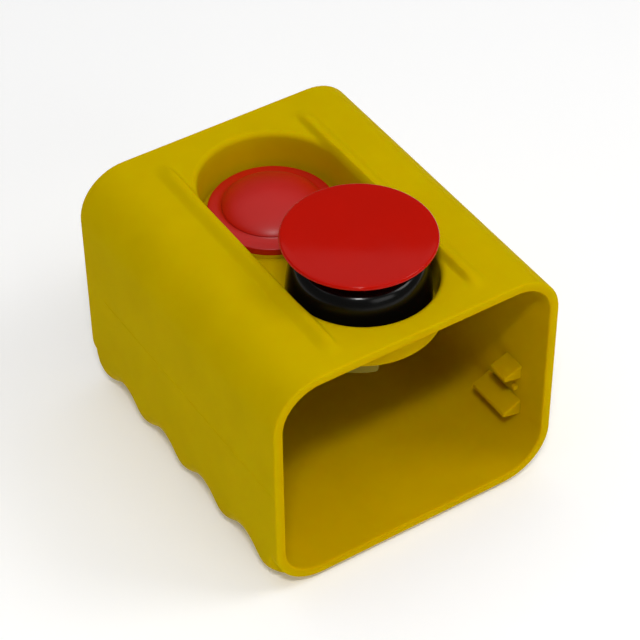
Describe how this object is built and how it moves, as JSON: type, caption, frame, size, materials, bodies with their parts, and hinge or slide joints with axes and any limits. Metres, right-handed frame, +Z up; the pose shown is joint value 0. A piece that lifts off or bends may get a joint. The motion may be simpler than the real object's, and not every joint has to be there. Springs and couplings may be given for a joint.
{
  "type": "pendant control station",
  "caption": "Hand-held hoist control station: yellow moulded grip housing with finger ridges, a black-collared red mushroom head and a domed red push button in a recessed pocket.",
  "frame": {"origin": "centre of the housing's footprint, at the height of the lowest finger ridge", "axes": "+Z up along both push directions reversed, -Y out of the open mouth, +Y out of the cable inlet, +X to the right seen from the mouth"},
  "size_m": [0.0898, 0.102, 0.088],
  "materials": {
    "yellow_shell": "satin moulded",
    "red_gloss_plastic": "gloss",
    "red_satin_plastic": "satin gloss",
    "black_gloss_plastic": "gloss",
    "black_satin_plastic": "satin",
    "black_rubber": "matte",
    "olive_plastic": "satin",
    "ivory_plastic": "satin",
    "contact_brass": "polished",
    "zinc_steel": "zinc plated",
    "spring_steel": "bright drawn"
  },
  "bodies": {
    "station": {"housing": "yellow_shell", "end_cap": "black_satin_plastic", "end_cap_gasket": "black_rubber", "end_cap_screws": "zinc_steel", "cable_grommet": "black_rubber", "lock_nuts": "olive_plastic", "front_gasket": "black_rubber", "front_operator_body": "black_satin_plastic", "front_collar": "black_gloss_plastic", "front_stem_seal": "black_rubber", "rear_gasket": "black_rubber", "rear_operator_body": "black_satin_plastic", "rear_bezel": "red_satin_plastic", "rear_stem_seal": "black_rubber", "front_contact_block": "ivory_plastic", "front_fixed_contacts": "contact_brass", "rear_contact_block": "ivory_plastic", "rear_fixed_contacts": "contact_brass", "terminal_screws": "zinc_steel", "contact_block_screws": "zinc_steel", "front_return_spring": "spring_steel", "rear_return_spring": "spring_steel"},
    "front_head": {"mushroom_cap": "red_gloss_plastic", "front_stem": "black_satin_plastic", "front_clip": "spring_steel", "front_contact_plunger": "ivory_plastic", "front_contact_bridge": "contact_brass"},
    "rear_head": {"domed_button": "red_satin_plastic", "rear_stem": "black_satin_plastic", "rear_clip": "spring_steel", "rear_contact_plunger": "ivory_plastic", "rear_contact_bridge": "contact_brass"}
  },
  "joints": [
    {"name": "front_press", "type": "slide", "parent": "station", "child": "front_head", "axis": [0, 0, -1], "range_m": [0, 0.0035], "stiffness_N_per_m": 1500, "springref_m": -0.003, "deforming": ["front_return_spring"]},
    {"name": "rear_press", "type": "slide", "parent": "station", "child": "rear_head", "axis": [0, 0, -1], "range_m": [0, 0.0025], "stiffness_N_per_m": 1500, "springref_m": -0.002, "deforming": ["rear_return_spring"]}
  ]
}
